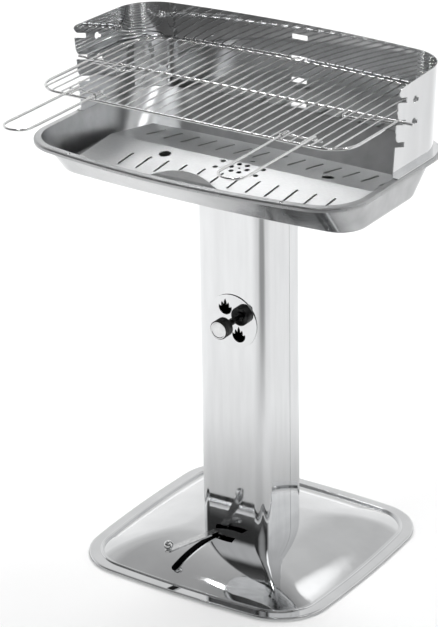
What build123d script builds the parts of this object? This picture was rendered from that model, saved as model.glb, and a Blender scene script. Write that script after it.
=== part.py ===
from build123d import *

import math
import os

# Charcoal pedestal grill in millimetres, +Z up. The drawing frame has the column's axis at X = Y = 0,
# the front towards -Y and the floor at Z = 0. The finished pieces move back along Y by BODY_SHIFT, so
# that the origin is the middle of the whole footprint, handles included.

# Sheets, seats and clearances
SHEET = 1.5
BASE_SHEET = 2.0
SEAT_GAP = 0.3
RUN_GAP = 0.05
SLIP_GAP = 0.02
BOLT_GAP = 0.2
WELD_SINK = 0.25

# Base pan
BASE_HALF_X = 222.0
BASE_HALF_Y = 216.0
BASE_CORNER = 88.0
BASE_BOW = 10.0
BASE_LIP = 6.0
BASE_FLANGE = 23.5
BASE_BEAD_IN = 19.5
BASE_BEAD_R = 2.5
BASE_TOP = 38.0
BASE_EDGE_ROUND = 2.5
PLATEAU_MARGIN = 7.0
PLATEAU_CORNER = 24.0
PLATEAU_BOW = 1.0
DOME_STEPS = 5
RIDGE_POWER = 3
ASH_OPENING_R = 36.0
BASE_FLOOR_LIFT = 1.0

# Column
COLUMN_HALF_X = 63.0
COLUMN_HALF_Y = 59.0
COLUMN_CORNER = 20.0
SEAM_Y = 17.0
SEAM_GAP = 0.6
SEAM_STRIP = 24.0
SEAM_STRIP_INSET = 30.0

# Brackets and bolts that join the column to the base and to the bowl
BRACKET_LEG = 17.0
BRACKET_RISE = 26.0
BRACKET_WIDTH = 24.0
BRACKET_SHEET = 2.0
BRACKET_Y = 22.0
BOLT_R = 2.5
BOLT_HEAD_R = 4.4
BOLT_HEAD = 3.0
NUT_R = 4.2
NUT = 3.5

# Fire bowl
RIM_Z = 705.0
RIM_HALF_X = 292.0
RIM_FRONT_Y = -227.0
RIM_BACK_Y = 150.0
RIM_CORNER = 78.0
RIM_FRONT_BOW = 33.0
RIM_BACK_BOW = 21.0
RIM_FLANGE = 11.0
RIM_LIP = 7.0
RIM_ROUND = 3.0
BOWL_DEPTH = 63.0
BOWL_SIDE_RUN = 12.0
BOWL_FRONT_RUN = 66.0
BOWL_BACK_RUN = 63.0
FLOOR_CORNER = 46.0
FLOOR_FRONT_BOW = 13.0
FLOOR_BACK_BOW = 9.0
FLOOR_ROUND = 9.0
FLUE_HALF_X = 38.0
FLUE_HALF_Y = 34.0
FLUE_CORNER = 14.0
RIM_RIVET_X = 189.0
RIM_RIVET_R = 3.0
RIM_RIVET_SHANK_R = 1.5
RIM_RIVET_DOME = 1.6

# Wind shield
SHIELD_RISE = 138.0
SHIELD_FRONT_Y = -46.0
SHIELD_CORNER = 70.0
SHIELD_LEAN = 5.0
SHIELD_SPREAD = 0.06
SHIELD_FOOT = 8.5
SHIELD_TOP_ROUND = 9.0
NOTCH_COUNT = 3
NOTCH_FIRST = 41.0
NOTCH_PITCH = 35.0
GRATE_LEVEL = 1
NOTCH_DEEP = 28.0
NOTCH_HEIGHT = 8.0
NOTCH_RISE = 0.30
NOTCH_LEAD_DEEP = 13.0
NOTCH_LEAD = 15.0
SPIT_HOLE_IN = 26.0
SPIT_HOLE_DROP = 3.0
SPIT_HOLE_R = 5.5
SPIT_HOLE_TAIL = 12.0
SPIT_HOLE_SLOT = 5.0
REAR_SLOT_X = 6.0
REAR_SLOT_HALF = 14.0
REAR_SLOT_ROOM = 3.4
REAR_SLOT_LOW_DROP = 40.0
SCREW_R = 1.8
SCREW_HEAD_R = 2.8
SCREW_HEAD = 1.8
SCREW_NUT = 2.2
SCREW_INNER_X = 60.0
SCREW_OUTER_X = 150.0
SCREW_SET_IN = 4.7

# Damper
DAMPER_X = 6.0
DAMPER_Z = 416.0
DAMPER_R = 45.0
VENT_AT_R = 24.5
VENT_AT_DEG = 120.0
FLAME_HALF = 12.0
DAMPER_SHANK_R = 3.0
DAMPER_COLLAR_R = 5.5
DAMPER_COLLAR = 2.0
DAMPER_STEM = 21.0
DAMPER_KNOB_R = 15.5
DAMPER_KNOB = 17.0
DAMPER_KNOB_BITE = 12.0
DAMPER_KNOB_ROUND = 2.5
DAMPER_CAP_R = 14.0
DAMPER_CAP = 1.5
DAMPER_WASHER_R = 8.0
DAMPER_WASHER = 1.2
DAMPER_NUT_R = 6.0
DAMPER_NUT = 5.0

# Ash lever
LEVER_REST_DEG = -18.0
LEVER_SWING_DEG = 22.0
LEVER_WIDTH = 12.0
LEVER_STRIP = 3.0
LEVER_SLOT_OUT = 18.0
LEVER_SLOT_HALF = 7.5
LEVER_SLOT_REST_DEG = 6.0
LEVER_SLOT_FAR_DEG = 1.0
LEVER_OVER = 3.0
LEVER_END_IN = 44.0
LEVER_KNOB_R = 7.5
LEVER_KNOB_STEM_R = 3.5
LEVER_KNOB_STEM = 8.0
SHUTTER_LAP = 3.0
SHUTTER_GAP = 0.4
ASH_VENT_COUNT = 6
ASH_VENT_DEG = 22.0
ASH_VENT_IN_R = 14.0
ASH_FLOOR_MARGIN = 3.0
PIVOT_R = 4.0
PIVOT_HEAD_R = 7.5
LEVER_RIVET_R = 2.2
LEVER_RIVET_HEAD_R = 3.6
LEVER_RIVET_HEAD = 1.4
LEVER_RIVET_FIRST = 19.0
LEVER_RIVET_PITCH = 12.0

# Coal plate
PLATE_X = 20.0
PLATE_SIDE_IN = 19.0
PLATE_RIDGE = 32.5
PLATE_FRONT_DEG = 5.5
PLATE_BACK_DEG = 9.5
PLATE_SLOT_WIDTH = 4.0
PLATE_SLOT_FROM = 42.0
PLATE_FRONT_SLOT = 42.0
PLATE_FRONT_PITCH = 33.0
PLATE_FRONT_COUNT = 12
PLATE_FRONT_SHIFT = 3.5
PLATE_BACK_SLOT = 54.0
PLATE_BACK_PITCH = 32.5
PLATE_BACK_COUNT = 14
PLATE_BACK_SHIFT = 0.0
FINGER_HOLE_R = 9.5
FINGER_HOLE_X = 131.5
FINGER_HOLE_Y = 24.0
CLUSTER_Y = -18.0
CLUSTER_RING_R = 14.0
CLUSTER_COUNT = 6
CLUSTER_HOLE_R = 4.2
CLUSTER_MID_R = 2.2
CLUSTER_OUTER_R = 38.0
CLUSTER_OUTER_DEG = (-17.0, 17.0, 90.0, 163.0, 197.0)
LIP_X = -29.0
LIP_HALF = 62.0
LIP_RISE = 21.0
LIP_LEAN = 2.0
LIP_CURL = 10.5
LIP_BEND_R = 4.0
LIP_ROOT = 10.0
LIP_ARC_R = 142.0

# Grate
FRAME_WIRE_R = 2.4
THIN_WIRE_R = 1.4
GRATE_SIDE_GAP = 7.0
GRATE_FRONT_IN = 53.0
GRATE_BACK_GAP = 5.0
GRATE_CORNER = 45.0
GRATE_CORNER_GAP = 4.0
WIRE_PITCH = 17.0
WIRE_PAST = 1.9
LUG_PAST = 19.0
BRACE_R = 2.0
BRACE_IN = 84.0
BRACE_FORWARD = 24.0
BRACE_SIDE_STEP = 8.0
BRACE_BEND_R = 8.0
TONGUE_R = 2.0
TONGUE_HALF = 9.0
TONGUE_BEND_R = 6.0
TONGUE_PAST = 5.0
HANDLE_WIRE_R = 2.1
HANDLE_WIRES_IN = 4
HANDLE_HALF = 22.5
HANDLE_LONG = 174.4
HANDLE_ROOT = 27.0
HANDLE_HOOK_R = 4.0
CROSS_WIRE_R = 1.75
CROSS_WIRE_PITCHES = 2
SLEEVE_R = 3.6
SLEEVE_LONG = 15.0
SLEEVE_RIBS = 5
SLEEVE_GROOVE = 0.5
SLEEVE_FROM_FRAME = 6.0

# Places worked out from the sizes
PLATEAU_HALF = COLUMN_HALF_X + PLATEAU_MARGIN
FLOOR_Z = RIM_Z - BOWL_DEPTH
FLOOR_HALF_X = RIM_HALF_X - RIM_FLANGE - BOWL_SIDE_RUN
FLOOR_FRONT_Y = RIM_FRONT_Y + RIM_FLANGE + BOWL_FRONT_RUN
FLOOR_BACK_Y = RIM_BACK_Y - RIM_FLANGE - BOWL_BACK_RUN
PLATE_HALF_X = FLOOR_HALF_X - PLATE_SIDE_IN
RIDGE_Y = (RIM_FRONT_Y + RIM_BACK_Y) / 2
RIDGE_Z = FLOOR_Z + PLATE_RIDGE
SHIELD_HALF_X = RIM_HALF_X - RIM_FLANGE
SHIELD_BACK_Y = RIM_BACK_Y - RIM_FLANGE
NOTCH_LEVELS = [RIM_Z + NOTCH_FIRST + k * NOTCH_PITCH for k in range(NOTCH_COUNT)]
NOTCH_Z = NOTCH_LEVELS[GRATE_LEVEL]
NOTCH_END_Y = SHIELD_FRONT_Y + NOTCH_DEEP
NOTCH_LEAD_Y = SHIELD_FRONT_Y + NOTCH_LEAD_DEEP
SPIT_HOLE_Y = NOTCH_END_Y + SPIT_HOLE_IN
GRATE_HALF_X = SHIELD_HALF_X - GRATE_SIDE_GAP
GRATE_FRONT_Y = RIM_FRONT_Y + GRATE_FRONT_IN
GRATE_BACK_Y = SHIELD_BACK_Y - GRATE_BACK_GAP
GRATE_BACK_CORNER = SHIELD_CORNER - GRATE_CORNER_GAP
LUG_REACH = SHIELD_HALF_X + LUG_PAST
WIRE_SIDE_COUNT = math.floor((GRATE_HALF_X - FRAME_WIRE_R - 2 * THIN_WIRE_R) / WIRE_PITCH)
BAR_Y = NOTCH_END_Y - FRAME_WIRE_R - SEAT_GAP
BAR_LIFT = (FRAME_WIRE_R + SEAT_GAP) * math.hypot(1, NOTCH_RISE)
BAR_Z = NOTCH_Z + NOTCH_RISE * (NOTCH_END_Y - BAR_Y) + BAR_LIFT
WIRE_Z = BAR_Z + FRAME_WIRE_R + THIN_WIRE_R - WELD_SINK
HANDLE_Z = BAR_Z + FRAME_WIRE_R + HANDLE_WIRE_R - WELD_SINK
HANDLE_X = (WIRE_SIDE_COUNT - HANDLE_WIRES_IN) * WIRE_PITCH
HANDLE_ROOT_Y = GRATE_FRONT_Y + HANDLE_ROOT
HANDLE_TIP_Y = GRATE_FRONT_Y - HANDLE_LONG
BODY_SHIFT = -(HANDLE_TIP_Y - HANDLE_WIRE_R + BASE_HALF_Y) / 2
CROSS_WIRE_Z = WIRE_Z - THIN_WIRE_R - CROSS_WIRE_R + WELD_SINK
DISC_BACK_Y = -COLUMN_HALF_Y - SEAT_GAP
DISC_FRONT_Y = DISC_BACK_Y - SHEET
KNOB_BACK_Y = DISC_FRONT_Y - DAMPER_STEM
KNOB_FRONT_Y = KNOB_BACK_Y - DAMPER_KNOB
WASHER_BACK_Y = -COLUMN_HALF_Y + SHEET + SEAT_GAP + DAMPER_WASHER
NUT_BACK_Y = WASHER_BACK_Y + DAMPER_NUT
ASH_FLOOR_Z = BASE_TOP - BASE_SHEET - SHEET
SHUTTER_Z = ASH_FLOOR_Z - SHUTTER_GAP - SHEET
LEVER_Z = SHUTTER_Z - LEVER_STRIP
LEVER_TOP_Z = BASE_TOP + LEVER_OVER
LEVER_SLOT_R = COLUMN_HALF_Y + LEVER_SLOT_OUT
LEVER_REACH = BASE_HALF_Y - LEVER_END_IN
LEVER_RIVET_AT = (LEVER_RIVET_FIRST, LEVER_RIVET_FIRST + LEVER_RIVET_PITCH)
SHUTTER_R = ASH_OPENING_R + SHUTTER_LAP
ASH_VENT_OUT_R = ASH_OPENING_R - SHUTTER_LAP
BRACKET_FACE_X = COLUMN_HALF_X - SHEET
BRACKET_BOLT_X = BRACKET_FACE_X - (BRACKET_LEG + BRACKET_SHEET) / 2
BRACKET_PLACES = [(side, row * BRACKET_Y) for side in (-1, 1) for row in (-1, 1)]
ASH_FLOOR_HALF_X = BRACKET_BOLT_X + 2 * ASH_FLOOR_MARGIN
ASH_FLOOR_HALF_Y = SHUTTER_R + ASH_FLOOR_MARGIN


def bowed_face(half_x, front_y, back_y, front_corner, back_corner, side_bow, front_bow, back_bow):
    """Rounded rectangle whose sides may bulge. The half width and both Y values are its outermost points."""
    x = half_x - side_bow
    low = front_y + front_bow
    high = back_y - back_bow
    middle_y = (low + high) / 2

    def side(start, middle, end, bow):
        return ThreePointArc(start, middle, end) if bow else Line(start, end)

    front = side((-x, low), (0, front_y), (x, low), front_bow)
    right = side((x, low), (half_x, middle_y), (x, high), side_bow)
    back = side((x, high), (0, back_y), (-x, high), back_bow)
    left = side((-x, high), (-half_x, middle_y), (-x, low), side_bow)
    face = make_face([front, right, back, left])
    face = fillet(face.vertices().group_by(Axis.Y)[0], front_corner)
    return fillet(face.vertices().group_by(Axis.Y)[-1], back_corner)


def even_face(half_x, half_y, corner, bow):
    """Bowed rectangle about the column's axis, alike on all sides."""
    return bowed_face(half_x, -half_y, half_y, corner, corner, bow, bow, bow)


def sector(inner_r, outer_r, start_deg, sweep_deg):
    """Piece of a flat ring between two angles."""
    outer = CenterArc((0, 0), outer_r, start_deg, sweep_deg)
    inner = CenterArc((0, 0), inner_r, start_deg + sweep_deg, -sweep_deg)
    return make_face([outer, Line(outer @ 1, inner @ 0), inner, Line(inner @ 1, outer @ 0)])


def upright(x, y, low, high, radius):
    """Vertical cylinder between two heights."""
    return Pos(x, y, low) * extrude(Circle(radius), high - low)


def hole(x, y, z, radius):
    """Cutter for a round hole through a level sheet near a height."""
    return upright(x, y, z - 2 * SHEET, z + 2 * SHEET, radius)


def damper_plane(back_y):
    """Upright plane across the damper's axis, facing the front."""
    return Plane((DAMPER_X, back_y, DAMPER_Z), x_dir=(1, 0, 0), z_dir=(0, -1, 0))


def damper_round(back_y, front_y, radius):
    """Cylinder on the damper's axis, from one depth forward to another."""
    return extrude(damper_plane(back_y) * Circle(radius), back_y - front_y)


def wire_along(path, radius):
    """Round wire along a path of straight runs and tangent arcs."""
    return sweep(Plane(path @ 0, z_dir=path % 0) * Circle(radius), path=path)


def bolt(x, y, under_head, above_nut):
    """Bolt with its head on the upper face and its nut on the lower face."""
    shank = upright(x, y, above_nut, under_head, BOLT_R)
    head = upright(x, y, under_head, under_head + BOLT_HEAD, BOLT_HEAD_R)
    nut = Pos(x, y, above_nut - NUT) * extrude(RegularPolygon(NUT_R, 6), NUT)
    return shank + head + nut


def dome_face(step, inset):
    """Outline of the base's dome from its rim (step 0) to its plateau (step 1)."""
    out = 1 - step
    half_x = PLATEAU_HALF + (BASE_HALF_X - BASE_FLANGE - PLATEAU_HALF) * out - inset
    half_y = PLATEAU_HALF + (BASE_HALF_Y - BASE_FLANGE - PLATEAU_HALF) * out - inset
    corner = PLATEAU_CORNER + (BASE_CORNER - BASE_FLANGE - PLATEAU_CORNER) * out**RIDGE_POWER - inset
    bow = PLATEAU_BOW + (BASE_BOW - PLATEAU_BOW) * out
    return even_face(half_x, half_y, corner, bow)


def dome_height(step):
    """Height of the dome: steep at its rim and level at its plateau."""
    return BASE_LIP + (BASE_TOP - BASE_LIP) * (1 - (1 - step) ** 2)


def flange_face(inset):
    """Outline of the base's flat flange."""
    return even_face(BASE_HALF_X - inset, BASE_HALF_Y - inset, BASE_CORNER - inset, BASE_BOW)


def base_form(inset):
    """Solid form of the base: flange and convex dome. The inset form is the space under the sheet."""
    steps = [k / DOME_STEPS for k in range(DOME_STEPS + 1)]
    dome = loft([Pos(0, 0, dome_height(step) - inset) * dome_face(step, inset) for step in steps])
    flange = extrude(flange_face(inset), BASE_LIP - inset)
    if inset == 0:
        flange = fillet(flange.edges().group_by(Axis.Z)[-1], BASE_EDGE_ROUND)
    return flange + dome


def base_bead():
    """Rounded bead on the flange, a little outside the dome."""
    return wire_along(Pos(0, 0, BASE_LIP) * flange_face(BASE_BEAD_IN).wire(), BASE_BEAD_R)


def lever_slot():
    """Curved slot round the lever's pivot, with room for the strip at both ends of its swing."""
    inner_r = LEVER_SLOT_R - LEVER_SLOT_HALF
    strip_deg = 2 * math.degrees(LEVER_WIDTH / 2 / inner_r)
    start = LEVER_REST_DEG - 90 - strip_deg / 2 - LEVER_SLOT_REST_DEG
    sweep_deg = LEVER_SWING_DEG + strip_deg + LEVER_SLOT_REST_DEG + LEVER_SLOT_FAR_DEG
    return sector(inner_r, LEVER_SLOT_R + LEVER_SLOT_HALF, start, sweep_deg)


def base_pan():
    """Pressed foot with a turned-down edge, a bead, the ash opening, the lever's slot and the bolt holes."""
    pan = base_form(0) + base_bead() - base_form(BASE_SHEET)
    above = BASE_TOP + BASE_SHEET
    pan -= extrude(Circle(ASH_OPENING_R), above)
    pan -= extrude(lever_slot(), above)
    for side, y in BRACKET_PLACES:
        pan -= upright(side * BRACKET_BOLT_X, y, 0, above, BOLT_R + BOLT_GAP)
    return pan


def base_floor():
    """Bottom plate that catches ash, with a raised rim that meets the flange from below."""
    outer = flange_face(BASE_SHEET + SEAT_GAP)
    inner = flange_face(BASE_SHEET + SEAT_GAP + SHEET)
    rise = BASE_LIP - BASE_SHEET - BASE_FLOOR_LIFT
    tray = extrude(outer, rise) - Pos(0, 0, SHEET) * extrude(inner, rise)
    return Pos(0, 0, BASE_FLOOR_LIFT) * tray


def ash_vents():
    """Ring of openings shared by the ash floor and its shutter, with a closed bar under the lever."""
    step = 360 / ASH_VENT_COUNT
    first = LEVER_REST_DEG - 90 + step / 2 - ASH_VENT_DEG / 2
    starts = [first + k * step for k in range(ASH_VENT_COUNT)]
    return [sector(ASH_VENT_IN_R, ASH_VENT_OUT_R, start, ASH_VENT_DEG) for start in starts]


def ash_floor():
    """Holed plate bolted under the plateau. Ash falls through it while the shutter is open."""
    plate = Rectangle(2 * ASH_FLOOR_HALF_X, 2 * ASH_FLOOR_HALF_Y) - ash_vents() - Circle(PIVOT_R + SLIP_GAP)
    for side, y in BRACKET_PLACES:
        plate -= Pos(side * BRACKET_BOLT_X, y) * Circle(BOLT_R + BOLT_GAP)
    return Pos(0, 0, ASH_FLOOR_Z) * extrude(plate, SHEET)


def pivot_bolt():
    """Bolt through the ash floor that the shutter and the lever turn on."""
    top = ASH_FLOOR_Z + SHEET
    low = LEVER_Z - SEAT_GAP
    head = upright(0, 0, top, top + BOLT_HEAD, PIVOT_HEAD_R)
    nut = Pos(0, 0, low - NUT) * extrude(RegularPolygon(PIVOT_HEAD_R, 6), NUT)
    return head + upright(0, 0, low, top, PIVOT_R) + nut


def brackets(foot_z, rise):
    """Four angle brackets inside the column, one leg on its side wall, one on the level face at foot_z."""
    way = math.copysign(1, rise)
    pieces = []
    for side, y in BRACKET_PLACES:
        level = Box(BRACKET_LEG, BRACKET_WIDTH, BRACKET_SHEET)
        level = Pos(side * (BRACKET_FACE_X - BRACKET_LEG / 2), y, foot_z + way * BRACKET_SHEET / 2) * level
        wall = Box(BRACKET_SHEET, BRACKET_WIDTH, abs(rise))
        wall = Pos(side * (BRACKET_FACE_X - BRACKET_SHEET / 2), y, foot_z + rise / 2) * wall
        pieces.append(level + wall - hole(side * BRACKET_BOLT_X, y, foot_z, BOLT_R + BOLT_GAP))
    return Compound(children=pieces)


def foot_bolts():
    """Bolts through the foot brackets, the plateau and the ash floor."""
    top = BASE_TOP + BRACKET_SHEET
    return Compound(children=[bolt(side * BRACKET_BOLT_X, y, top, ASH_FLOOR_Z) for side, y in BRACKET_PLACES])


def head_bolts():
    """Bolts through the bowl's floor and the head brackets."""
    top = FLOOR_Z + SHEET
    low = FLOOR_Z - BRACKET_SHEET
    return Compound(children=[bolt(side * BRACKET_BOLT_X, y, top, low) for side, y in BRACKET_PLACES])


def column_shell(front):
    """Front or rear half of the column's sheet tube, parted along the seam on its two sides."""
    inner_corner = COLUMN_CORNER - SHEET
    tube = RectangleRounded(2 * COLUMN_HALF_X, 2 * COLUMN_HALF_Y, COLUMN_CORNER)
    tube -= RectangleRounded(2 * (COLUMN_HALF_X - SHEET), 2 * (COLUMN_HALF_Y - SHEET), inner_corner)
    edge = SEAM_Y - SEAM_GAP / 2 if front else SEAM_Y + SEAM_GAP / 2
    way = -1 if front else 1
    half = Pos(0, edge + way * COLUMN_HALF_Y) * Rectangle(4 * COLUMN_HALF_X, 2 * COLUMN_HALF_Y)
    return Pos(0, 0, BASE_TOP) * extrude(tube & half, FLOOR_Z - BASE_TOP)


def flame():
    """Flame with five tongues, upright about the origin, as wide as twice FLAME_HALF."""
    side = [(0.95, 0.35), (0.74, 0.17), (0.6, 0.15), (0.62, 0.5), (0.48, 0.85),
            (0.33, 0.62), (0.22, 0.5), (0.17, 0.9), (0.0, 1.3)]
    right = [(FLAME_HALF * x, FLAME_HALF * y) for x, y in side]
    left = [(-x, y) for x, y in reversed(right)]
    outline = [ThreePointArc(left[-1], (0, -0.95 * FLAME_HALF), right[0])]
    for points in (right, left):
        outline += [ThreePointArc(*points[k:k + 3]) for k in range(0, len(points) - 2, 2)]
    return make_face(outline)


def damper_vents(back_y, depth):
    """Cutter for the two upright flame openings on opposite sides of the damper's axis."""
    across = VENT_AT_R * math.cos(math.radians(VENT_AT_DEG))
    rise = VENT_AT_R * math.sin(math.radians(VENT_AT_DEG))
    sketch = Sketch() + [Pos(way * across, way * rise) * flame() for way in (-1, 1)]
    return extrude(damper_plane(back_y) * sketch, depth)


def column_front():
    """Front shell with the two air openings and the damper's shaft hole."""
    shell = column_shell(True)
    inside = -COLUMN_HALF_Y + 2 * SHEET
    shell -= damper_vents(inside, 3 * SHEET)
    return shell - damper_round(inside, -COLUMN_HALF_Y - SHEET, DAMPER_SHANK_R + RUN_GAP)


def seam_strips():
    """Flat strips welded behind the two seams inside the column."""
    low = BASE_TOP + SEAM_STRIP_INSET
    high = FLOOR_Z - SEAM_STRIP_INSET
    strip = Box(SHEET, SEAM_STRIP, high - low)
    x = COLUMN_HALF_X - 1.5 * SHEET
    return Compound(children=[Pos(side * x, SEAM_Y, (low + high) / 2) * strip for side in (-1, 1)])


def damper_disc():
    """Round plate with two flame openings."""
    disc = damper_round(DISC_BACK_Y, DISC_FRONT_Y, DAMPER_R)
    disc -= damper_vents(DISC_BACK_Y + SHEET, 3 * SHEET)
    return disc - damper_round(DISC_BACK_Y + SHEET, DISC_FRONT_Y - SHEET, DAMPER_SHANK_R + SLIP_GAP)


def damper_stem():
    """Spindle through the column, the disc and into the knob, with a collar on the disc."""
    stem = damper_round(NUT_BACK_Y + SHEET, KNOB_BACK_Y - DAMPER_KNOB_BITE, DAMPER_SHANK_R)
    return stem + damper_round(DISC_FRONT_Y, DISC_FRONT_Y - DAMPER_COLLAR, DAMPER_COLLAR_R)


def damper_knob():
    """Long round knob pushed over the end of the spindle, with its back rim rounded."""
    knob = damper_round(KNOB_BACK_Y, KNOB_FRONT_Y, DAMPER_KNOB_R)
    knob = fillet(knob.edges().group_by(Axis.Y)[-1], DAMPER_KNOB_ROUND)
    return knob - damper_round(KNOB_BACK_Y + SHEET, KNOB_BACK_Y - DAMPER_KNOB_BITE, DAMPER_SHANK_R + SLIP_GAP)


def damper_cap():
    """Bright disc on the front of the knob."""
    return damper_round(KNOB_FRONT_Y, KNOB_FRONT_Y - DAMPER_CAP, DAMPER_CAP_R)


def damper_washer():
    """Washer inside the column."""
    ring = damper_round(WASHER_BACK_Y, WASHER_BACK_Y - DAMPER_WASHER, DAMPER_WASHER_R)
    return ring - damper_round(NUT_BACK_Y, WASHER_BACK_Y - 2 * DAMPER_WASHER, DAMPER_SHANK_R + SLIP_GAP)


def damper_nut():
    """Nut on the spindle behind the washer."""
    nut = extrude(damper_plane(NUT_BACK_Y) * RegularPolygon(DAMPER_NUT_R, 6), DAMPER_NUT)
    return nut - damper_round(NUT_BACK_Y + SHEET, WASHER_BACK_Y - SHEET, DAMPER_SHANK_R + SLIP_GAP)


def ash_shutter():
    """Holed disc that turns under the ash floor. At rest its openings line up with the floor's."""
    disc = Circle(SHUTTER_R) - ash_vents() - Circle(PIVOT_R + RUN_GAP)
    for place in LEVER_RIVET_AT:
        disc -= Rot(0, 0, LEVER_REST_DEG) * Pos(0, -place) * Circle(LEVER_RIVET_R + SLIP_GAP)
    return Pos(0, 0, SHUTTER_Z) * extrude(disc, SHEET)


def lever_arm():
    """Cranked strip: under the plateau to its slot, up through it, then out over the dome."""
    riser_r = LEVER_SLOT_R - LEVER_STRIP / 2
    inner = Pos(0, -riser_r / 2) * Rectangle(LEVER_WIDTH, riser_r + LEVER_STRIP) + Circle(PIVOT_HEAD_R)
    arm = Pos(0, 0, LEVER_Z) * extrude(inner, LEVER_STRIP)
    riser = Box(LEVER_WIDTH, LEVER_STRIP, LEVER_TOP_Z + LEVER_STRIP - LEVER_Z)
    arm += Pos(0, -LEVER_SLOT_R, (LEVER_Z + LEVER_TOP_Z + LEVER_STRIP) / 2) * riser
    middle = (LEVER_SLOT_R + LEVER_REACH) / 2
    outer = Pos(0, -middle) * Rectangle(LEVER_WIDTH, LEVER_REACH - LEVER_SLOT_R)
    outer += Pos(0, -LEVER_REACH) * Circle(LEVER_WIDTH / 2)
    arm += Pos(0, 0, LEVER_TOP_Z) * extrude(outer, LEVER_STRIP)
    arm -= upright(0, 0, LEVER_Z, LEVER_TOP_Z, PIVOT_R + RUN_GAP)
    for place in LEVER_RIVET_AT:
        arm -= upright(0, -place, LEVER_Z, LEVER_TOP_Z, LEVER_RIVET_R + SLIP_GAP)
    return Rot(0, 0, LEVER_REST_DEG) * arm


def lever_rivets():
    """Rivets that hold the arm to the shutter, flush with the shutter's upper face."""
    pieces = []
    for place in LEVER_RIVET_AT:
        shank = upright(0, -place, LEVER_Z, SHUTTER_Z + SHEET, LEVER_RIVET_R)
        head = upright(0, -place, LEVER_Z - LEVER_RIVET_HEAD, LEVER_Z, LEVER_RIVET_HEAD_R)
        pieces.append(Rot(0, 0, LEVER_REST_DEG) * (shank + head))
    return Compound(children=pieces)


def lever_knob():
    """Ball on a short neck that stands on the end of the lever."""
    foot = LEVER_TOP_Z + LEVER_STRIP
    neck = upright(0, -LEVER_REACH, foot, foot + LEVER_KNOB_STEM, LEVER_KNOB_STEM_R)
    ball = Pos(0, -LEVER_REACH, foot + LEVER_KNOB_STEM) * Sphere(LEVER_KNOB_R)
    return Rot(0, 0, LEVER_REST_DEG) * (neck + ball)


def rim_face(inset):
    """Outline of the bowl's rim, drawn in from its outer edge."""
    corner = RIM_CORNER - inset
    front_y = RIM_FRONT_Y + inset
    back_y = RIM_BACK_Y - inset
    return bowed_face(RIM_HALF_X - inset, front_y, back_y, corner, corner, 0, RIM_FRONT_BOW, RIM_BACK_BOW)


def floor_face(inset):
    """Outline of the bowl's floor, drawn in from its outer edge."""
    corner = FLOOR_CORNER - inset
    front_y = FLOOR_FRONT_Y + inset
    back_y = FLOOR_BACK_Y - inset
    half_x = FLOOR_HALF_X - inset
    return bowed_face(half_x, front_y, back_y, corner, corner, 0, FLOOR_FRONT_BOW, FLOOR_BACK_BOW)


def bowl_form(inset, lift):
    """Solid form of the bowl below its rim. Inset by the sheet, it is the space that the bowl holds."""
    low = Pos(0, 0, FLOOR_Z + lift) * floor_face(inset)
    high = Pos(0, 0, RIM_Z) * rim_face(RIM_FLANGE - SHEET + inset)
    form = loft([low, high], ruled=True)
    return fillet(form.edges().group_by(Axis.Z)[0], FLOOR_ROUND - lift)


def rim_back_y(x, inset):
    """Depth of the rim's back edge, drawn in by an inset, at a distance x from its middle."""
    half = RIM_HALF_X - inset
    radius = (half**2 + RIM_BACK_BOW**2) / (2 * RIM_BACK_BOW)
    return RIM_BACK_Y - inset - radius + math.sqrt(radius**2 - x**2)


def screw_places():
    """Places of the shield's screws along the back of the rim."""
    across = (-SCREW_OUTER_X, -SCREW_INNER_X, SCREW_INNER_X, SCREW_OUTER_X)
    return [(x, rim_back_y(x, RIM_FLANGE - SCREW_SET_IN)) for x in across]


def rivet_places():
    """Places of the two rivets in the front of the rim."""
    half = RIM_HALF_X - RIM_FLANGE / 2
    radius = (half**2 + RIM_FRONT_BOW**2) / (2 * RIM_FRONT_BOW)
    y = RIM_FRONT_Y + RIM_FLANGE / 2 + radius - math.sqrt(radius**2 - RIM_RIVET_X**2)
    return [(way * RIM_RIVET_X, y) for way in (-1, 1)]


def fire_bowl():
    """Pressed bowl with sloping walls, flat floor with the flue opening, flange and turned-down edge."""
    bowl = bowl_form(0, 0) - bowl_form(SHEET, SHEET)
    edge = extrude(rim_face(0), -RIM_LIP)
    edge = Pos(0, 0, RIM_Z) * fillet(edge.edges().group_by(Axis.Z)[-1], RIM_ROUND)
    edge -= Pos(0, 0, RIM_Z - SHEET) * extrude(rim_face(SHEET), -RIM_LIP)
    edge -= Pos(0, 0, RIM_Z) * extrude(rim_face(RIM_FLANGE - SHEET / 2), -RIM_LIP)
    bowl += edge
    flue = RectangleRounded(2 * FLUE_HALF_X, 2 * FLUE_HALF_Y, FLUE_CORNER)
    bowl -= Pos(0, 0, FLOOR_Z) * extrude(flue, 2 * SHEET, both=True)
    for side, y in BRACKET_PLACES:
        bowl -= hole(side * BRACKET_BOLT_X, y, FLOOR_Z, BOLT_R + BOLT_GAP)
    for x, y in screw_places():
        bowl -= hole(x, y, RIM_Z, SCREW_R + BOLT_GAP)
    for x, y in rivet_places():
        bowl -= hole(x, y, RIM_Z, RIM_RIVET_SHANK_R + SLIP_GAP)
    return bowl


def rim_rivets():
    """Domed rivets in the front of the rim."""
    pieces = []
    radius = (RIM_RIVET_R**2 + RIM_RIVET_DOME**2) / (2 * RIM_RIVET_DOME)
    for x, y in rivet_places():
        ball = Pos(x, y, RIM_Z + RIM_RIVET_DOME - radius) * Sphere(radius)
        dome = ball & upright(x, y, RIM_Z, RIM_Z + RIM_RIVET_DOME, RIM_RIVET_R)
        shank = upright(x, y, RIM_Z - SHEET, RIM_Z, RIM_RIVET_SHANK_R)
        tail = upright(x, y, RIM_Z - SHEET - RIM_RIVET_DOME, RIM_Z - SHEET, RIM_RIVET_R)
        pieces.append(dome + shank + tail)
    return Compound(children=pieces)


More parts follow.
